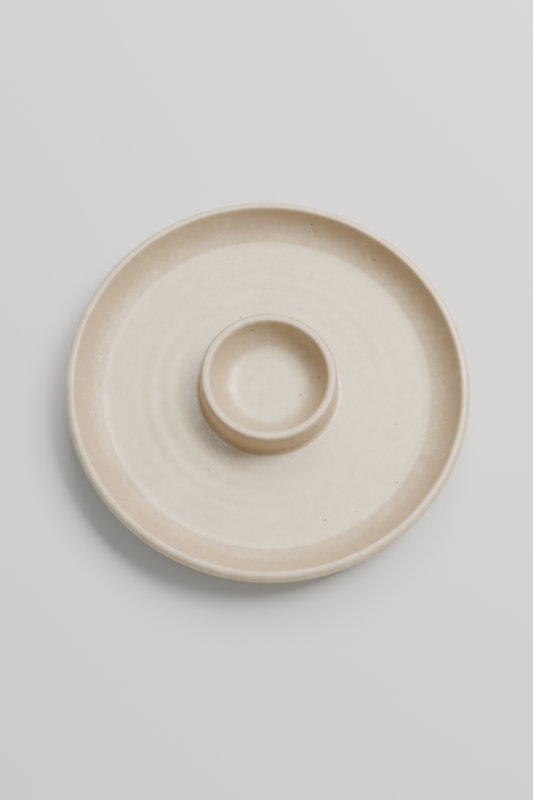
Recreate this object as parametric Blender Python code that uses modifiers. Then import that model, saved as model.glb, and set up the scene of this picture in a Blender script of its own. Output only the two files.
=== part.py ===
"""A stoneware chip and dip server: a wide thrown plate with a dip cup luted to the middle of its floor.

Metres, +Z up. The origin is the middle of the foot ring's underside, the face that stands on the table.
Each piece is turned about Z, as it was on the wheel: an outline in the XZ plane, spun by a Screw modifier.
"""

from math import ceil, radians, sin, tan

import bpy
from mathutils import Matrix, Vector

# Plate
PLATE_RADIUS = 0.125
PLATE_FLOOR = 0.0065  # thickness of the plate's floor
FOOT_HEIGHT = 0.003
FOOT_RADIUS = 0.1048
FOOT_WIDTH = 0.0055
WALL_HEIGHT = 0.0169  # from the plate's floor to the crest of its lip
WALL_SLOPE = radians(64)  # steepness of the inner wall where it meets the lip
WALL_SWEEP = 0.0231  # radius of the curve from the floor up into the wall
LIP_WIDTH = 0.0058
LIP_INNER_ROUND = 0.0026
LIP_OUTER_ROUND = 0.004
LIP_DEPTH = 0.0042  # from the crest down to where the outside starts to lean in
SHOULDER_HEIGHT = 0.0055  # above the plate's floor: below here the outside turns in towards the foot
SHOULDER_LEAN = 0.0004  # how far the outside has come in at the shoulder
SHOULDER_ROUND = 0.009
BELLY_RADIUS = 0.107  # where the underside of the wall meets the level underside

# Dip cup
CUP_HEIGHT = 0.023  # from the plate's floor to the crest of the cup's lip
CUP_LIP_RADIUS = 0.042
CUP_BASE_RADIUS = 0.0428
CUP_LIP_WIDTH = 0.006
CUP_LIP_ROUND = 0.0028
CUP_FLOOR = 0.0055  # from the plate's floor to the floor of the cup
CUP_BOWL_RADIUS = 0.0313  # where the bowl's wall would meet its floor without the rounding
CUP_BOWL_ROUND = 0.0185
CUP_BASE_ROUND = 0.0006

# Luted joint
GAP = 0.0003  # space between the faces of neighbouring pieces
SLIP_THICKNESS = 0.0008
SLIP_INSET = 0.001  # the slip stops this far short of the cup's outer edge
SCORE_COUNT = 3
SCORE_PITCH = 0.012
SCORE_DEPTH = 0.0006
SCORE_WIDTH = 0.0018
COIL_REACH = 0.0046  # how far the foot coil's toe stands out from the cup
COIL_HEIGHT = 0.0044
COIL_ROUND = 0.0037  # radius of the coil's hollow face
COIL_TOE = 0.0003  # thickness left at the coil's worked edges

# Facets
TURNING_STEPS = 56
ARC_STEP = radians(20)

# Levels that follow from the sizes above
PLATE_TOP = FOOT_HEIGHT + PLATE_FLOOR
CUP_UNDERSIDE = PLATE_TOP + GAP + SLIP_THICKNESS + GAP


def rounded(corners):
    """The outline through corners given as (radius, height, rounding), each rounding an arc."""
    points = []
    for index, (radius, height, rounding) in enumerate(corners):
        corner = Vector((radius, height))
        if rounding == 0:
            points.append(corner)
            continue
        back = (Vector(corners[index - 1][:2]) - corner).normalized()
        ahead = (Vector(corners[(index + 1) % len(corners)][:2]) - corner).normalized()
        half = back.angle(ahead) / 2
        centre = corner + (back + ahead).normalized() * rounding / sin(half)
        spoke = corner + back * rounding / tan(half) - centre
        last_spoke = corner + ahead * rounding / tan(half) - centre
        # angle_signed is positive clockwise, and the sweep is wanted anticlockwise
        sweep = -spoke.angle_signed(last_spoke)
        steps = max(2, ceil(abs(sweep) / ARC_STEP))
        for step in range(steps + 1):
            points.append(centre + Matrix.Rotation(sweep * step / steps, 2) @ spoke)
    return points


def scoring(height, cut):
    """The V-shaped score rings of the joint, from the middle outwards, cut to height + cut."""
    corners = []
    for ring in range(1, SCORE_COUNT + 1):
        radius = ring * SCORE_PITCH
        corners.append((radius - SCORE_WIDTH / 2, height, 0))
        corners.append((radius, height + cut, 0))
        corners.append((radius + SCORE_WIDTH / 2, height, 0))
    return corners


def glaze(name, colour, roughness):
    """A plain dielectric finish in one colour."""
    material = bpy.data.materials.new(name)
    material.use_nodes = True
    shader = material.node_tree.nodes["Principled BSDF"]
    shader.inputs["Base Color"].default_value = (*colour, 1)
    shader.inputs["Roughness"].default_value = roughness
    shader.inputs["Metallic"].default_value = 0
    material.diffuse_color = (*colour, 1)
    return material


def turned(name, outline, closed, material, collection):
    """A solid of revolution about Z. The outline runs down its outer side."""
    edges = [(index, index + 1) for index in range(len(outline) - 1)]
    if closed:
        edges.append((len(outline) - 1, 0))
    mesh = bpy.data.meshes.new(name)
    mesh.from_pydata([(point.x, 0, point.y) for point in outline], edges, [])
    mesh.materials.append(material)
    piece = bpy.data.objects.new(name, mesh)
    collection.objects.link(piece)
    spin = piece.modifiers.new("Turning", "SCREW")
    spin.axis = "Z"
    spin.steps = TURNING_STEPS
    spin.render_steps = TURNING_STEPS
    spin.use_merge_vertices = True
    spin.merge_threshold = 0.00001
    spin.use_smooth_shade = True
    return piece


def plate_outline():
    """Floor from the middle outwards, up the wall, over the lip, down the outside and along the foot."""
    crest = PLATE_TOP + WALL_HEIGHT
    lip_inner = PLATE_RADIUS - LIP_WIDTH
    wall_foot = lip_inner - WALL_HEIGHT / tan(WALL_SLOPE)
    foot_inner = FOOT_RADIUS - FOOT_WIDTH
    foot_taper = 0.0007
    foot_edge = 0.0008
    foot_fillet = 0.0015
    return rounded(
        [
            (0, PLATE_TOP, 0),
            *scoring(PLATE_TOP, -SCORE_DEPTH),
            (wall_foot, PLATE_TOP, WALL_SWEEP),
            (lip_inner, crest, LIP_INNER_ROUND),
            (PLATE_RADIUS, crest, LIP_OUTER_ROUND),
            (PLATE_RADIUS, crest - LIP_DEPTH, 0),
            (PLATE_RADIUS - SHOULDER_LEAN, PLATE_TOP + SHOULDER_HEIGHT, SHOULDER_ROUND),
            (BELLY_RADIUS, FOOT_HEIGHT, 0),
            (FOOT_RADIUS + foot_taper, FOOT_HEIGHT, 0),
            (FOOT_RADIUS, 0, foot_edge),
            (foot_inner, 0, foot_edge),
            (foot_inner - foot_taper, FOOT_HEIGHT, foot_fillet),
            (0, FOOT_HEIGHT, 0),
        ]
    )


def cup_outline():
    """Bowl from the middle outwards, over the lip, down the outside and back along the scored base."""
    crest = PLATE_TOP + CUP_HEIGHT
    return rounded(
        [
            (0, PLATE_TOP + CUP_FLOOR, 0),
            (CUP_BOWL_RADIUS, PLATE_TOP + CUP_FLOOR, CUP_BOWL_ROUND),
            (CUP_LIP_RADIUS - CUP_LIP_WIDTH, crest, CUP_LIP_ROUND),
            (CUP_LIP_RADIUS, crest, CUP_LIP_ROUND),
            (CUP_BASE_RADIUS, CUP_UNDERSIDE, CUP_BASE_ROUND),
            *reversed(scoring(CUP_UNDERSIDE, SCORE_DEPTH)),
            (0, CUP_UNDERSIDE, 0),
        ]
    )


def slip_outline():
    """A thin bed whose ridges fill the score rings above and below it."""
    top = CUP_UNDERSIDE - GAP
    bottom = PLATE_TOP + GAP
    edge = CUP_BASE_RADIUS - SLIP_INSET
    return rounded(
        [
            (0, top, 0),
            *scoring(top, SCORE_DEPTH),
            (edge, top, 0),
            (edge, bottom, 0),
            *reversed(scoring(bottom, -SCORE_DEPTH)),
            (0, bottom, 0),
        ]
    )


def coil_outline():
    """A hollow-faced fillet: up the cup's side, then down its worked face to a thin toe on the floor."""
    bottom = PLATE_TOP + GAP
    lean = (CUP_BASE_RADIUS - CUP_LIP_RADIUS) / (CUP_HEIGHT - (CUP_UNDERSIDE - PLATE_TOP))
    inner = CUP_BASE_RADIUS + GAP
    top = bottom + COIL_HEIGHT
    toe = inner + COIL_REACH
    return rounded(
        [
            (inner, bottom, 0),
            (inner - lean * COIL_HEIGHT, top, 0),
            (inner - lean * COIL_HEIGHT + COIL_TOE, top, 0),
            (inner + COIL_TOE, bottom + COIL_TOE, COIL_ROUND),
            (toe, bottom + COIL_TOE, 0),
            (toe, bottom, 0),
        ]
    )


for old in list(bpy.data.objects):
    bpy.data.objects.remove(old, do_unlink=True)

server = bpy.data.collections.new("chip_and_dip_server")
bpy.context.scene.collection.children.link(server)

turned("plate", plate_outline(), False, glaze("Plate glaze", (0.62, 0.53, 0.44), 0.42), server)
turned("dip_cup", cup_outline(), False, glaze("Cup glaze", (0.60, 0.51, 0.41), 0.42), server)
turned("slip_bed", slip_outline(), False, glaze("Fired slip", (0.55, 0.45, 0.34), 0.9), server)
turned("foot_coil", coil_outline(), True, glaze("Coil glaze", (0.58, 0.49, 0.39), 0.42), server)
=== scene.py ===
from math import ceil, cos, inf, pi, radians, sin, tan

import bpy
from mathutils import Matrix, Quaternion, Vector


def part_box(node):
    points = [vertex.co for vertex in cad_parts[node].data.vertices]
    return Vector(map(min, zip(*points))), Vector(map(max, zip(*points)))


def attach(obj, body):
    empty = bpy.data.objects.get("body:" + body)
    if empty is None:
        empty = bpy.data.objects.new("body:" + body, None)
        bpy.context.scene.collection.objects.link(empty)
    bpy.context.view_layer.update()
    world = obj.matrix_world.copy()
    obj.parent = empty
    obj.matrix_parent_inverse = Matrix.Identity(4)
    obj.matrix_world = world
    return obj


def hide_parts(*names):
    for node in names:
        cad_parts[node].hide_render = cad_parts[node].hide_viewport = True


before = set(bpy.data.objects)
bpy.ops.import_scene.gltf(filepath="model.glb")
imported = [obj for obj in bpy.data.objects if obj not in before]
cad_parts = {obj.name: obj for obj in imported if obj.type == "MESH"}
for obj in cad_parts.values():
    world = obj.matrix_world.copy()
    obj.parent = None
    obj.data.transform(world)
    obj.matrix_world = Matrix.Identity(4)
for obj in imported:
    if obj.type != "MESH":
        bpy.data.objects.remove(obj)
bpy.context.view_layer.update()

# Plate -------------------------------------------------------------------------------------------
# A wide plate thrown in one lump from speckled buff stoneware. Its floor keeps the rings left by the
# thrower's fingers, its wall sweeps up into a rounded lip, and it is trimmed underneath to a foot ring.
# It is dipped in a satin cream glaze, and the foot's standing face is wiped bare for the kiln shelf.

_, plate_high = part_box("plate")
hand_wobble = 0.00012  # between its furthest in and its furthest out
plate_radius = plate_high[0] - hand_wobble / 2
lip_crest = plate_high[2] - hand_wobble / 2

foot_height = 0.003
foot_radius = 0.1048
foot_width = 0.0055
foot_taper = 0.0007
plate_floor = 0.0095
wall_sweep = 0.0231
wall_slope = radians(64)
lip_width = 0.0057
lip_inner_round = 0.0026
lip_outer_round = 0.004
lip_depth = 0.0042
shoulder_height = 0.015
shoulder_lean = 0.0004
shoulder_round = 0.009
belly_radius = 0.107
belly_fillet = 0.004
foot_outer_fillet = 0.0005
foot_inner_fillet = 0.0015
foot_edge = 0.0008

score_count = 3
score_pitch = 0.012
score_depth = 0.0006
score_width = 0.0018

finger_ring_pitch = 0.0116
finger_ring_depth = 0.00017
first_finger_ring = 0.057
rings_come_in = (0.048, 0.056)  # radii between which the finger rings deepen
rings_fade_out = (0.072, 0.094)  # and between which they die away
trimming_pitch = 0.0021
trimming_depth = 0.00005
trimmed_above = foot_height * 0.9  # the foot itself is left smooth
trimmed_level = 0.4  # how far a surface faces down where the trimming rings are full

toasty = (0.455, 0.335, 0.2)  # glaze so thin that the clay warms it
creamy = (0.78, 0.66, 0.468)  # glaze pooled thick
sugar_and_glint_white = (0.84, 0.79, 0.735)  # tiny crystals where the glaze has run and pooled deepest, and the painted highlight at the wall's foot
fired_clay = (0.46, 0.31, 0.19)
iron = (0.07, 0.045, 0.03)

# How thick the glaze lies, from 0, a skim, to 1, a full pool
level_glaze = 0.62
gentle_glaze = 0.28  # what a gentle slope holds, and level clay too
gentle_slopes = (radians(12), radians(48))
crest_top = 0.35  # the share of a lip's reach over which its crest holds its full glaze
floor_pool = (radians(12.5), radians(17.5))  # slopes between which the floor's pool runs out
lip_glaze = 0.74
lip_glaze_drop = 0.003  # how far below its crest the lip begins
lip_inner_reach = radians(34)  # the slope at which the crest's glaze ends on its inside
lip_outer_reach = radians(24)  # and on its outside
outside_glaze = 0.42

sugar_round_cup = (0.0475, 0.056)  # radii between which the sugar round the cup's foot dies away
# The whitish band at the foot of the plate's wall is partly sugar and partly a painted highlight
glint_and_sugar_up_wall = (radians(12), radians(16))  # slopes between which the sugar and painted highlight at the wall's foot end
glint_and_sugar_on_floor = (radians(5), radians(9))  # and between which they begin
wall_foot_glint_and_sugar = 0.6
sugar_and_glint_lean = 0.55  # how strongly the sugar gathers on the side that the glaze ran to, with the wall foot's painted highlight
bare_height = 0.0012  # the foot is wiped bare up to here

# The clear skin on the glaze, and how rough the glaze is, where it is thin and where it pools
thin_gloss = 0.04
pooled_gloss = 0.66
thin_roughness = 0.62
pooled_roughness = 0.42
coat_roughness = 0.19
bare_roughness = 0.45  # what bare clay adds to the glaze's

touching = 0.000001  # points nearer to each other than this are one point
corner_turn = radians(6)  # the most that a rounded corner turns in one step


class Outline:
    """A turned piece's outline in (radius, height), walked so that the piece lies on the right hand."""

    def __init__(self, arc_step, run_step):
        self.arc_step = arc_step
        self.run_step = run_step
        self.points = []

    def run_to(self, point):
        """A straight run, cut into steps."""
        if self.points:
            start = self.points[-1]
            steps = max(1, ceil((point - start).length / self.run_step))
            for step in range(1, steps):
                self.points.append(start.lerp(point, step / steps))
        if not self.points or (point - self.points[-1]).length > touching:
            self.points.append(point)

    def through(self, corners):
        """Runs from corner to corner, each (radius, height, rounding) with its corner rounded."""
        for index, (radius, height, rounding) in enumerate(corners):
            corner = Vector((radius, height))
            if rounding == 0:
                self.run_to(corner)
                continue
            back = (Vector(corners[index - 1][:2]) - corner).normalized()
            ahead = (Vector(corners[index + 1][:2]) - corner).normalized()
            half = back.angle(ahead) / 2
            centre = corner + (back + ahead).normalized() * rounding / sin(half)
            spoke = corner + back * rounding / tan(half) - centre
            last_spoke = corner + ahead * rounding / tan(half) - centre
            sweep = -spoke.angle_signed(last_spoke)
            steps_by_length = ceil(abs(sweep) * rounding / self.arc_step)
            steps = max(2, steps_by_length, ceil(abs(sweep) / corner_turn))
            self.run_to(centre + spoke)
            for step in range(1, steps + 1):
                self.points.append(centre + Matrix.Rotation(sweep * step / steps, 2) @ spoke)
        return self.points


def scoring(height, cut):
    """The V-shaped score rings of the joint, from the middle outwards, cut to height + cut."""
    corners = []
    for ring in range(1, score_count + 1):
        radius = ring * score_pitch
        corners.append((radius - score_width / 2, height, 0))
        corners.append((radius, height + cut, 0))
        corners.append((radius + score_width / 2, height, 0))
    return corners


def directions(points):
    """The unit direction of travel at each point of an outline: its x is how far the surface faces up."""
    ways = []
    for index in range(len(points)):
        before = points[max(index - 1, 0)]
        after = points[min(index + 1, len(points) - 1)]
        ways.append((after - before).normalized())
    return ways


def ease(low, high, value):
    """0 below low, 1 above high, and an even ease between."""
    share = min(max((value - low) / (high - low), 0), 1)
    return share * share * (3 - 2 * share)


def glaze_depth(points, pool, lip_height=inf, lip_share=0, inner_reach=0, outer_reach=0, outside=0):
    """How thick the glaze lies at each point: deep on level ground and thinner as a wall steepens.

    The pooled glaze runs out between the two slopes in pool. Above lip_height the lip's crest holds
    lip_share, as far down its inside as the slope inner_reach and down its outside as outer_reach.
    The outside and the underside hold at least outside."""
    depths = []
    for point, way in zip(points, directions(points)):
        level = ease(cos(pool[1]), cos(pool[0]), way.x)
        gentle = ease(cos(gentle_slopes[1]), cos(gentle_slopes[0]), way.x)
        depth = level_glaze * level + gentle_glaze * gentle
        if point.y > lip_height:
            reach, least = (inner_reach, 0) if way.y > 0 else (outer_reach, outside)
            depth = least + (lip_share - least) * ease(cos(reach), cos(reach * crest_top), way.x)
        elif way.y < 0 or way.x < 0:
            depth = max(depth, outside)
        depths.append(depth)
    return depths


def add_node(tree, kind, feeds=None, **settings):
    """A new node. feeds maps an input's name or number to a value or to another node's output."""
    node = tree.nodes.new(kind)
    for name, value in settings.items():
        setattr(node, name, value)
    for key, feed in (feeds or {}).items():
        if isinstance(feed, bpy.types.NodeSocket):
            tree.links.new(feed, node.inputs[key])
        else:
            node.inputs[key].default_value = feed
    return node


def maths(tree, operation, *feeds, clamp=False):
    """The output of a Math node fed with numbers or outputs."""
    numbered = dict(enumerate(feeds))
    return add_node(tree, "ShaderNodeMath", numbered, operation=operation, use_clamp=clamp).outputs[0]


def blend(tree, factor, first, second):
    """A mix of two colours, each given as a colour or an output."""
    feeds = {0: factor}
    for key, feed in ((6, first), (7, second)):
        feeds[key] = feed if isinstance(feed, bpy.types.NodeSocket) else (*feed, 1)
    return add_node(tree, "ShaderNodeMix", feeds, data_type="RGBA").outputs[2]


def open_group(kind, name, inputs, outputs):
    """A node group with named sockets, each given as (socket type, name, default)."""
    tree = bpy.data.node_groups.new(name, kind)
    for socket, label, default in inputs:
        made = tree.interface.new_socket(label, in_out="INPUT", socket_type=socket)
        if default is not None:
            made.default_value = default
    for socket, label in outputs:
        tree.interface.new_socket(label, in_out="OUTPUT", socket_type=socket)
    return tree, tree.nodes.new("NodeGroupInput"), tree.nodes.new("NodeGroupOutput")


outline_marks = ("glaze", "bare", "sugar", "ring_depth", "ring_phase")


def read_mark(tree, name):
    """A mark that the points carry."""
    mark = add_node(tree, "GeometryNodeInputNamedAttribute", {"Name": name}, data_type="FLOAT")
    return mark.outputs["Attribute"]


def store_mark(tree, geometry, name, value):
    """The geometry with a mark written on its points."""
    feeds = {"Geometry": geometry, "Name": name, "Value": value}
    return add_node(tree, "GeometryNodeStoreNamedAttribute", feeds, data_type="FLOAT").outputs["Geometry"]


def sample_point(tree, geometry, value, index, kind):
    """What a value is at one point of the geometry."""
    feeds = {"Geometry": geometry, "Value": value, "Index": index}
    return add_node(tree, "GeometryNodeSampleIndex", feeds, data_type=kind, domain="POINT").outputs["Value"]


def parts_of(tree, vector):
    """The X, Y and Z of a vector."""
    return add_node(tree, "ShaderNodeSeparateXYZ", {0: vector}).outputs


def on_side(tree, heading, side):
    """1 where the heading is the given side, easing to -1 on the opposite side."""
    return maths(tree, "COSINE", maths(tree, "SUBTRACT", heading, side))


def spin_outline(tree, given):
    """The outline's points, with their marks, spun once about Z into one sheet that is closed all round."""
    outline = given.outputs["Outline"]
    size = add_node(tree, "GeometryNodeAttributeDomainSize", {"Geometry": outline}, component="MESH")
    rows = size.outputs["Point Count"]
    columns = maths(tree, "ADD", given.outputs["Facets"], 1)
    grid = add_node(tree, "GeometryNodeMeshGrid", {"Vertices X": rows, "Vertices Y": columns})
    place = parts_of(tree, grid.outputs["UV Map"])
    last = maths(tree, "SUBTRACT", rows, 1)
    along = maths(tree, "ROUND", maths(tree, "MULTIPLY", place["X"], last))
    turn = maths(tree, "MULTIPLY", place["Y"], 2 * pi)

    sheet = grid.outputs["Mesh"]
    for name in outline_marks:
        mark = sample_point(tree, outline, read_mark(tree, name), along, "FLOAT")
        sheet = store_mark(tree, sheet, name, mark)

    position = add_node(tree, "GeometryNodeInputPosition").outputs[0]
    point = parts_of(tree, sample_point(tree, outline, position, along, "FLOAT_VECTOR"))
    round_z = {
        "X": maths(tree, "MULTIPLY", point["X"], maths(tree, "COSINE", turn)),
        "Y": maths(tree, "MULTIPLY", point["X"], maths(tree, "SINE", turn)),
        "Z": point["Z"],
    }
    spun = add_node(tree, "ShaderNodeCombineXYZ", round_z).outputs[0]
    turned = add_node(tree, "GeometryNodeSetPosition", {"Geometry": sheet, "Position": spun}).outputs[0]
    seams = {"Geometry": turned, "Distance": touching}
    return add_node(tree, "GeometryNodeMergeByDistance", seams).outputs[0]


def build_wheel():
    """The potter's wheel: spins the points of an outline about Z and leaves the hand's marks."""
    tree, given, result = open_group(
        "GeometryNodeTree",
        "Potter's wheel",
        [
            ("NodeSocketGeometry", "Outline", None),
            ("NodeSocketInt", "Facets", 360),
            ("NodeSocketFloat", "Ring Wander", 0.35),
            ("NodeSocketFloat", "Ring Lean", 0.9),
            ("NodeSocketFloat", "Deep Side", radians(165)),
            ("NodeSocketFloat", "Sugar And Glint Side", radians(225)),
            ("NodeSocketFloat", "Hand Wobble", hand_wobble),
            ("NodeSocketFloat", "Wobble Scale", 9.0),
            ("NodeSocketFloat", "Seed", 3.0),
            ("NodeSocketMaterial", "Material", None),
        ],
        [("NodeSocketGeometry", "Piece")],
    )
    closed = spin_outline(tree, given)
    spot = parts_of(tree, add_node(tree, "GeometryNodeInputPosition").outputs[0])
    heading = maths(tree, "ARCTAN2", spot["Y"], spot["X"])

    # The sugar gathers on the side that the glaze ran to; so does the painted highlight at the wall's foot
    glint_and_sugar_side = on_side(tree, heading, given.outputs["Sugar And Glint Side"])
    run = maths(tree, "MULTIPLY_ADD", glint_and_sugar_side, sugar_and_glint_lean, 1 - sugar_and_glint_lean, clamp=True)
    sugared = maths(tree, "MULTIPLY", read_mark(tree, "sugar"), run)
    closed = store_mark(tree, closed, "sugar", sugared)

    # The rings wander a little from their circles, and are deeper on one side
    slow = {"W": given.outputs["Seed"], "Scale": given.outputs["Wobble Scale"], "Detail": 1.0}
    drift = add_node(tree, "ShaderNodeTexNoise", slow, noise_dimensions="4D")
    uneven = maths(tree, "SUBTRACT", drift.outputs[0], 0.5)
    wander = maths(tree, "MULTIPLY", uneven, given.outputs["Ring Wander"])
    wave = maths(tree, "COSINE", maths(tree, "MULTIPLY_ADD", wander, 2 * pi, read_mark(tree, "ring_phase")))
    side = on_side(tree, heading, given.outputs["Deep Side"])
    pressed = maths(tree, "MULTIPLY_ADD", side, given.outputs["Ring Lean"], 1.0)
    relief = maths(tree, "MULTIPLY", maths(tree, "MULTIPLY", wave, pressed), read_mark(tree, "ring_depth"))
    outward = {0: add_node(tree, "GeometryNodeInputNormal").outputs[0], "Scale": relief}
    rings = add_node(tree, "ShaderNodeVectorMath", outward, operation="SCALE").outputs[0]

    # The whole piece is a little out of true, apart from the face that stood on the kiln shelf
    evenly = {0: drift.outputs["Color"], 1: (0.5, 0.5, 0.5)}
    bend = add_node(tree, "ShaderNodeVectorMath", evenly, operation="SUBTRACT").outputs[0]
    off_shelf = maths(tree, "DIVIDE", spot["Z"], foot_height, clamp=True)
    sway = {0: bend, "Scale": maths(tree, "MULTIPLY", off_shelf, given.outputs["Hand Wobble"])}
    wobble = add_node(tree, "ShaderNodeVectorMath", sway, operation="SCALE").outputs[0]

    offset = add_node(tree, "ShaderNodeVectorMath", {0: rings, 1: wobble}, operation="ADD").outputs[0]
    marked = add_node(tree, "GeometryNodeSetPosition", {"Geometry": closed, "Offset": offset}).outputs[0]
    smooth = {"Geometry": marked, "Shade Smooth": True}
    shaded = add_node(tree, "GeometryNodeSetShadeSmooth", smooth).outputs[0]
    real = add_node(tree, "GeometryNodeRealizeInstances", {"Geometry": shaded}).outputs[0]
    coat = {"Geometry": real, "Material": given.outputs["Material"]}
    coated = add_node(tree, "GeometryNodeSetMaterial", coat).outputs[0]
    tree.links.new(coated, result.inputs["Piece"])
    return tree


wheel = build_wheel()


def throw(name, points, marks, material, **settings):
    """A piece spun from its outline. marks gives each outline point the values that the glaze and the
    rings follow, and settings are inputs of the wheel by name."""
    mesh = bpy.data.meshes.new(name + "_outline")
    mesh.from_pydata([(point.x, 0, point.y) for point in points], [], [])
    for mark in outline_marks:
        values = marks.get(mark, [0] * len(points))
        mesh.attributes.new(mark, "FLOAT", "POINT").data.foreach_set("value", values)
    lump = bpy.data.objects.new(name + "_outline", mesh)
    bpy.context.scene.collection.objects.link(lump)
    modifier = lump.modifiers.new("Wheel", "NODES")
    modifier.node_group = wheel
    inputs = [item for item in wheel.interface.items_tree if item.in_out == "INPUT"]
    identifiers = {item.name: item.identifier for item in inputs}
    modifier[identifiers["Material"]] = material
    for label, value in settings.items():
        modifier[identifiers[label.replace("_", " ").title()]] = value
    finished = bpy.data.meshes.new_from_object(lump.evaluated_get(bpy.context.evaluated_depsgraph_get()))
    finished.name = name
    bpy.data.objects.remove(lump, do_unlink=True)
    piece = bpy.data.objects.new(name, finished)
    bpy.context.scene.collection.objects.link(piece)
    return piece


def build_specks():
    """Iron in the clay that burns through the glaze: dark dots, few of them near the largest size."""
    tree, given, result = open_group(
        "ShaderNodeTree",
        "Iron specks",
        [
            ("NodeSocketVector", "Place", None),
            ("NodeSocketFloat", "Spacing", 0.006),
            ("NodeSocketFloat", "Largest", 0.0006),
            ("NodeSocketFloat", "Rarity", 1.5),
            ("NodeSocketFloat", "Soft Edge", 0.00018),
        ],
        [("NodeSocketFloat", "Speck")],
    )
    density = maths(tree, "DIVIDE", 1.0, given.outputs["Spacing"])
    around = {"Vector": given.outputs["Place"], "Scale": density}
    cells = add_node(tree, "ShaderNodeTexVoronoi", around, voronoi_dimensions="3D")
    chance = add_node(tree, "ShaderNodeSeparateColor", {0: cells.outputs["Color"]}).outputs[0]
    share = maths(tree, "POWER", chance, given.outputs["Rarity"])
    size = maths(tree, "MULTIPLY", share, given.outputs["Largest"])
    reach = maths(tree, "MULTIPLY", cells.outputs["Distance"], given.outputs["Spacing"])
    inside = maths(tree, "SUBTRACT", size, reach)
    speck = maths(tree, "DIVIDE", inside, given.outputs["Soft Edge"], clamp=True)
    tree.links.new(speck, result.inputs["Speck"])
    return tree


speck_group = build_specks()


def specks(tree, place, spacing, largest):
    """Specks of one kind of grit, scattered about spacing apart."""
    feeds = {"Place": place, "Spacing": spacing, "Largest": largest}
    return add_node(tree, "ShaderNodeGroup", feeds, node_tree=speck_group).outputs["Speck"]


def noise(tree, place, scale, detail, roughness=0.5):
    """A soft random field between 0 and 1."""
    feeds = {"Vector": place, "Scale": scale, "Detail": detail, "Roughness": roughness}
    return add_node(tree, "ShaderNodeTexNoise", feeds).outputs[0]


def crisp(tree, field, middle, gain, lift):
    """A soft field made crisp: it is lift where it was at its middle, and changes gain times as fast."""
    return maths(tree, "MULTIPLY_ADD", maths(tree, "SUBTRACT", field, middle), gain, lift, clamp=True)


def build_glaze():
    """Satin glaze over speckled clay: colour by depth with soft mottling, specks, sugar and a fine skin."""
    tree, given, result = open_group(
        "ShaderNodeTree",
        "Satin glaze",
        [
            ("NodeSocketFloat", "Depth", 0.5),
            ("NodeSocketFloat", "Sugar", 0.0),
            ("NodeSocketColor", "Thin Colour", (*toasty, 1)),
            ("NodeSocketColor", "Pooled Colour", (*creamy, 1)),
            ("NodeSocketColor", "Sugar And Glint Colour", (*sugar_and_glint_white, 1)),
            ("NodeSocketColor", "Speck Colour", (*iron, 1)),
            ("NodeSocketFloat", "Mottle", 0.6),
            ("NodeSocketFloat", "Freckle Strength", 0.45),
            ("NodeSocketFloat", "Speck Strength", 0.75),
            ("NodeSocketFloat", "Patchy Roughness", 0.14),
            ("NodeSocketFloat", "Grain Height", 0.22),
            ("NodeSocketFloat", "Sugar Height", 0.35),
        ],
        [
            ("NodeSocketColor", "Colour"),
            ("NodeSocketFloat", "Roughness"),
            ("NodeSocketFloat", "Gloss"),
            ("NodeSocketFloat", "Height"),
        ],
    )
    place = add_node(tree, "ShaderNodeTexCoord").outputs["Object"]
    cloud = noise(tree, place, scale=45.0, detail=3.0, roughness=0.55)
    patch = noise(tree, place, scale=210.0, detail=3.0, roughness=0.6)
    grain = noise(tree, place, scale=1100.0, detail=2.0, roughness=0.6)
    crystal = noise(tree, place, scale=900.0, detail=1.0)

    uneven_patch = maths(tree, "SUBTRACT", patch, 0.5)
    uneven_grain = maths(tree, "SUBTRACT", grain, 0.5)
    patchy = maths(tree, "MULTIPLY", maths(tree, "SUBTRACT", cloud, 0.5), given.outputs["Mottle"])
    blotchy = maths(tree, "MULTIPLY_ADD", uneven_patch, given.outputs["Mottle"], patchy)
    gritty = maths(tree, "MULTIPLY_ADD", uneven_grain, given.outputs["Mottle"], blotchy)
    depth = maths(tree, "ADD", given.outputs["Depth"], gritty, clamp=True)
    coat = blend(tree, depth, given.outputs["Thin Colour"], given.outputs["Pooled Colour"])

    # Sugar: a whitish crystal stipple, which along the wall's foot is also a painted highlight
    crystals = crisp(tree, crystal, middle=0.5, gain=12.0, lift=0.3)
    run = crisp(tree, cloud, middle=0.48, gain=5.0, lift=0.6)
    sugar = maths(tree, "MULTIPLY", maths(tree, "MULTIPLY", crystals, run), given.outputs["Sugar"])
    coat = blend(tree, sugar, coat, given.outputs["Sugar And Glint Colour"])

    freckles = specks(tree, place, spacing=0.0042, largest=0.0004)
    blots = specks(tree, place, spacing=0.0105, largest=0.0009)
    faint = maths(tree, "MULTIPLY", freckles, given.outputs["Freckle Strength"])
    speck = maths(tree, "MAXIMUM", faint, blots)
    shown = maths(tree, "MULTIPLY", speck, given.outputs["Speck Strength"])
    colour = blend(tree, shown, coat, given.outputs["Speck Colour"])

    gloss = maths(tree, "MULTIPLY_ADD", depth, pooled_gloss - thin_gloss, thin_gloss)
    sheen = maths(tree, "MULTIPLY_ADD", depth, pooled_roughness - thin_roughness, thin_roughness)
    dull = maths(tree, "MULTIPLY_ADD", uneven_patch, given.outputs["Patchy Roughness"], sheen)
    skin = maths(tree, "MULTIPLY_ADD", grain, given.outputs["Grain Height"], patch)
    height = maths(tree, "MULTIPLY_ADD", sugar, given.outputs["Sugar Height"], skin)
    tree.links.new(colour, result.inputs["Colour"])
    tree.links.new(dull, result.inputs["Roughness"])
    tree.links.new(gloss, result.inputs["Gloss"])
    tree.links.new(height, result.inputs["Height"])
    return tree


glaze_group = build_glaze()


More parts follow.
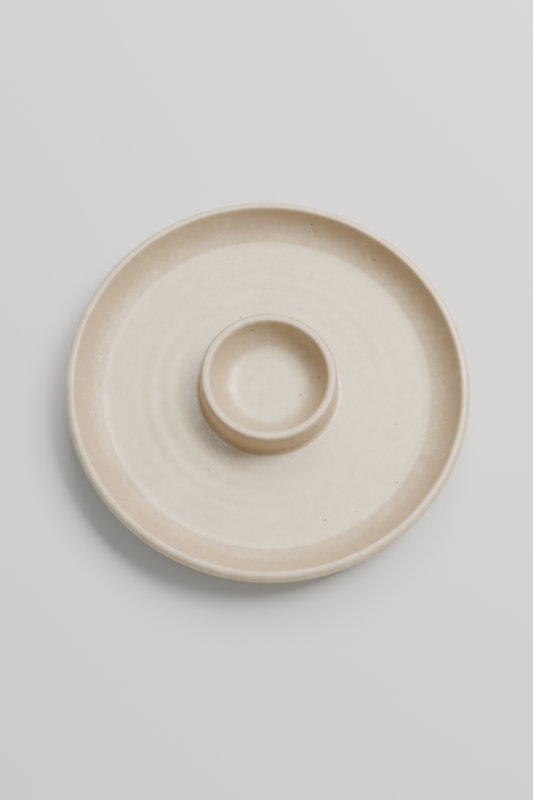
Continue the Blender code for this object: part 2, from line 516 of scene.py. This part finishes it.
def glazed(name):
    """A satin glaze that follows the piece's own glaze, sugar and bare marks."""
    material = bpy.data.materials.new(name)
    material.use_nodes = True
    tree = material.node_tree
    shader = tree.nodes["Principled BSDF"]
    depth = add_node(tree, "ShaderNodeAttribute", attribute_name="glaze").outputs["Fac"]
    sugar = add_node(tree, "ShaderNodeAttribute", attribute_name="sugar").outputs["Fac"]
    bare = add_node(tree, "ShaderNodeAttribute", attribute_name="bare").outputs["Fac"]
    coat = add_node(tree, "ShaderNodeGroup", {"Depth": depth, "Sugar": sugar}, node_tree=glaze_group)
    colour = blend(tree, bare, coat.outputs["Colour"], fired_clay)
    rough = maths(tree, "MULTIPLY_ADD", bare, bare_roughness, coat.outputs["Roughness"])
    relief = {"Strength": 0.3, "Distance": 0.0002, "Height": coat.outputs["Height"]}
    bump = add_node(tree, "ShaderNodeBump", relief)
    tree.links.new(colour, shader.inputs["Base Color"])
    tree.links.new(rough, shader.inputs["Roughness"])
    tree.links.new(bump.outputs[0], shader.inputs["Normal"])
    tree.links.new(coat.outputs["Gloss"], shader.inputs["Coat Weight"])
    shader.inputs["Coat Roughness"].default_value = coat_roughness
    return material


lip_inner = plate_radius - lip_width
lip_start = lip_crest - lip_glaze_drop
wall_height = lip_crest - plate_floor
plate_points = Outline(arc_step=0.0009, run_step=0.0016).through(
    [
        (0, plate_floor, 0),
        *scoring(plate_floor, -score_depth),
        (lip_inner - wall_height / tan(wall_slope), plate_floor, wall_sweep),
        (lip_inner, lip_crest, lip_inner_round),
        (plate_radius, lip_crest, lip_outer_round),
        (plate_radius, lip_crest - lip_depth, 0),
        (plate_radius - shoulder_lean, shoulder_height, shoulder_round),
        (belly_radius, foot_height, belly_fillet),
        (foot_radius + foot_taper, foot_height, foot_outer_fillet),
        (foot_radius, 0, foot_edge),
        (foot_radius - foot_width, 0, foot_edge),
        (foot_radius - foot_width - foot_taper, foot_height, foot_inner_fillet),
        (0, foot_height, 0),
    ]
)


def finger_ring(radius):
    """The depth and phase of the finger rings on the floor."""
    fade = ease(*rings_come_in, radius) * (1 - ease(*rings_fade_out, radius))
    return finger_ring_depth * fade, pi + 2 * pi * (radius - first_finger_ring) / finger_ring_pitch


def trimming_ring(radius, height, way):
    """The depth and phase of the fine rings that the trimming tool leaves on the level underside."""
    level = ease(0, trimmed_level, -way.x) if height > trimmed_above else 0
    return trimming_depth * level, 2 * pi * radius / trimming_pitch


def floor_sugar_and_glint(radius, height, way):
    """The sugary edge round the cup's foot, and the whitish band at the foot of the wall: sugar and a
    painted highlight.
    """
    round_cup = 1 - ease(*sugar_round_cup, radius)
    up_wall = ease(cos(glint_and_sugar_up_wall[1]), cos(glint_and_sugar_up_wall[0]), way.x)
    on_floor = ease(cos(glint_and_sugar_on_floor[1]), cos(glint_and_sugar_on_floor[0]), way.x)
    # a painted highlight along the wall's foot, drawn as sugar, stopping short of the lip
    glint_and_sugar_at_wall = wall_foot_glint_and_sugar * up_wall * (1 - on_floor) if height < lip_start else 0
    return max(round_cup, glint_and_sugar_at_wall)


plate_marks = {mark: [] for mark in outline_marks}
plate_marks["glaze"] = glaze_depth(
    plate_points, floor_pool, lip_start, lip_glaze, lip_inner_reach, lip_outer_reach, outside_glaze
)
for point, way in zip(plate_points, directions(plate_points)):
    faces_up = way.x > 0
    depth, phase = finger_ring(point.x) if faces_up else trimming_ring(point.x, point.y, way)
    plate_marks["ring_depth"].append(depth)
    plate_marks["ring_phase"].append(phase)
    plate_marks["sugar"].append(floor_sugar_and_glint(point.x, point.y, way) if faces_up else 0)
    plate_marks["bare"].append(1 if point.y < bare_height else 0)

plate = throw("glazed_plate", plate_points, plate_marks, glazed("plate_glaze"), facets=360)
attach(plate, "root")
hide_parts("plate")

# Slip bed ----------------------------------------------------------------------------------------
# The slip that joins the cup to the plate: wet clay spread between the two scored faces, squeezed thin
# and fired hard. It is hidden under the cup, bare of glaze, and full of fine grit.

slip_colour = (0.50, 0.39, 0.28)
clay_lift = 1.25  # how much paler the palest clay is than the darkest
cloud_share = 0.6  # the share of the colour's change that is soft clouds, and not grit
clay_roughness = (0.78, 0.98)


def bare_clay(name, colour):
    """Unglazed fired clay: sandy, dull and a little uneven in colour."""
    material = bpy.data.materials.new(name)
    material.use_nodes = True
    tree = material.node_tree
    shader = tree.nodes["Principled BSDF"]
    place = add_node(tree, "ShaderNodeTexCoord").outputs["Object"]
    cloud = noise(tree, place, scale=120.0, detail=4.0)
    grit = noise(tree, place, scale=1800.0, detail=2.0)
    paler = tuple(min(channel * clay_lift, 1) for channel in colour)
    clouded = maths(tree, "MULTIPLY", cloud, cloud_share)
    shade = maths(tree, "ADD", clouded, maths(tree, "MULTIPLY", grit, 1 - cloud_share))
    rough = maths(tree, "MULTIPLY_ADD", grit, clay_roughness[1] - clay_roughness[0], clay_roughness[0])
    bump = add_node(tree, "ShaderNodeBump", {"Strength": 0.5, "Distance": 0.00015, "Height": grit})
    tree.links.new(blend(tree, shade, colour, paler), shader.inputs["Base Color"])
    tree.links.new(rough, shader.inputs["Roughness"])
    tree.links.new(bump.outputs[0], shader.inputs["Normal"])
    return material


slip_bed = bpy.data.objects["slip_bed"]
slip_finish = bare_clay("fired_slip", slip_colour)
for slot in slip_bed.material_slots:
    slot.material = slip_finish

# Dip cup -----------------------------------------------------------------------------------------
# A small straight-sided cup with a round bowl inside and a thick rolled lip, thrown off the hump and set
# in the middle of the plate while both were leather-hard. It is dipped with the plate in the same glaze.

cup_low, cup_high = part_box("dip_cup")
cup_base = cup_low[2]
cup_crest = cup_high[2] - hand_wobble / 2
cup_lip_radius = 0.042
cup_base_radius = cup_high[0]
cup_lip_width = 0.006
cup_lip_round = 0.0028
cup_base_edge = 0.0006
cup_floor_clay = 0.0055  # between the plate's floor and the floor of the bowl
cup_floor = plate_floor + cup_floor_clay
bowl_corner = 0.0313
bowl_round = 0.0185
dimple_depth = 0.00015  # where the thrower's finger lifted off
dimple_radius = 0.0024
dimple_round = 0.003

cup_pool = (radians(8), radians(30))
cup_lip_glaze = 0.66
cup_lip_glaze_drop = 0.0024
cup_inner_reach = radians(32)
cup_outer_reach = radians(28)

cup_points = Outline(arc_step=0.0006, run_step=0.001).through(
    [
        (0, cup_floor - dimple_depth, 0),
        (dimple_radius / 2, cup_floor - dimple_depth, dimple_round),
        (dimple_radius, cup_floor, dimple_round),
        (bowl_corner, cup_floor, bowl_round),
        (cup_lip_radius - cup_lip_width, cup_crest, cup_lip_round),
        (cup_lip_radius, cup_crest, cup_lip_round),
        (cup_base_radius, cup_base, cup_base_edge),
        *reversed(scoring(cup_base, score_depth)),
        (0, cup_base, 0),
    ]
)
cup_lip_start = cup_crest - cup_lip_glaze_drop
cup_glaze = glaze_depth(
    cup_points, cup_pool, cup_lip_start, cup_lip_glaze, cup_inner_reach, cup_outer_reach
)
cup_marks = {"glaze": cup_glaze}
cup = throw("glazed_dip_cup", cup_points, cup_marks, glazed("cup_glaze"), facets=240)
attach(cup, "root")
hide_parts("dip_cup")

# Foot coil ---------------------------------------------------------------------------------------
# A thin coil of soft clay laid round the cup's foot and sponged to a hollow fillet, so that the joint is
# strong and easy to wash. The glaze runs over it from the cup to the floor and turns sugary at its toe.

_, coil_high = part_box("foot_coil")
coil_top = coil_high[2]
coil_round = 0.0037
toe_feather = 0.0008  # how far the sponged toe runs out on the floor
coil_pool = (radians(12), radians(30))
toe_sugar = (0.001, 0.003)  # how far from the cup's side the sugar begins and is full
tuck = 0.0003  # how far the coil's hidden faces reach into the cup and the plate
feather = 0.00001  # how far its worked edges dive under their surfaces
cup_lean = (cup_base_radius - cup_lip_radius) / (cup_crest - cup_base)
cup_side = cup_base_radius - cup_lean * (coil_top - cup_base)
coil_toe = cup_base_radius + coil_round + toe_feather
coil_points = Outline(arc_step=0.0003, run_step=0.0005).through(
    [
        (cup_base_radius - tuck, plate_floor - tuck, 0),
        (cup_side - tuck, coil_top, 0),
        (cup_side - feather, coil_top, 0),
        (cup_base_radius - feather, plate_floor + feather, coil_round),
        (coil_toe, plate_floor - feather, 0),
        (coil_toe, plate_floor - tuck, 0),
        (cup_base_radius - tuck, plate_floor - tuck, 0),
    ]
)
coil_marks = {
    "glaze": glaze_depth(coil_points, coil_pool),
    "sugar": [ease(*toe_sugar, point.x - cup_base_radius) for point in coil_points],
}
coil = throw("glazed_foot_coil", coil_points, coil_marks, glazed("coil_glaze"), facets=240)
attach(coil, "root")
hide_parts("foot_coil")

# Studio ------------------------------------------------------------------------------------------
# A plain pale table top in a pale room, lit by a soft window high on the right and a weaker one behind.
# The camera looks steeply down on it from the front.

table_width = 6
table_colour = (0.74, 0.74, 0.735)
table_roughness = 0.9
window_white = (1.0, 0.965, 0.915)
back_window_white = (1.0, 0.975, 0.94)
wall_white = (0.93, 0.97, 1.0)
wall_glow = 0.42

bpy.ops.mesh.primitive_plane_add(size=table_width)
table = bpy.context.object
table.name = "table"
table_finish = bpy.data.materials.new("table")
table_finish.use_nodes = True
table_shader = table_finish.node_tree.nodes["Principled BSDF"]
table_shader.inputs["Base Color"].default_value = (*table_colour, 1)
table_shader.inputs["Roughness"].default_value = table_roughness
table.data.materials.append(table_finish)


def hang_window(name, azimuth, elevation, width, distance, energy, colour):
    """A square soft light that faces the middle of the table."""
    light = bpy.data.lights.new(name, "AREA")
    light.shape = "SQUARE"
    light.size = width
    light.energy = energy
    light.color = colour
    stand = bpy.data.objects.new(name, light)
    bpy.context.scene.collection.objects.link(stand)
    way = Vector((cos(azimuth) * cos(elevation), sin(azimuth) * cos(elevation), sin(elevation)))
    stand.location = way * distance
    stand.rotation_euler = way.to_track_quat("Z", "Y").to_euler()
    return stand


hang_window(
    "side_window",
    azimuth=radians(34),
    elevation=radians(52),
    width=0.8,
    distance=1.6,
    energy=42,
    colour=window_white,
)
back_window = hang_window(
    "back_window",
    azimuth=radians(86),
    elevation=radians(45),
    width=0.9,
    distance=1.8,
    energy=25,
    colour=back_window_white,
)
back_window.visible_glossy = False  # a screened window: it lights the clay but leaves no glint in the glaze

room = bpy.data.worlds.new("room")
room.use_nodes = True
room.node_tree.nodes["Background"].inputs["Color"].default_value = (*wall_white, 1)
room.node_tree.nodes["Background"].inputs["Strength"].default_value = wall_glow
bpy.context.scene.world = room

camera_data = bpy.data.cameras.new("camera")
camera_data.lens = 50
camera_data.sensor_width = 36
camera = bpy.data.objects.new("camera", camera_data)
bpy.context.scene.collection.objects.link(camera)
camera_back = 0.2462
camera_up = 0.6546  # above the plate's floor
camera_roll = radians(4.75)
camera.location = (0, -camera_back, camera_up + plate_floor)
aim = Vector((-0.0003, -0.0079, plate_floor))
look = (aim - camera.location).to_track_quat("-Z", "Y")
camera.rotation_euler = (look @ Quaternion((0, 0, 1), camera_roll)).to_euler()
bpy.context.scene.camera = camera
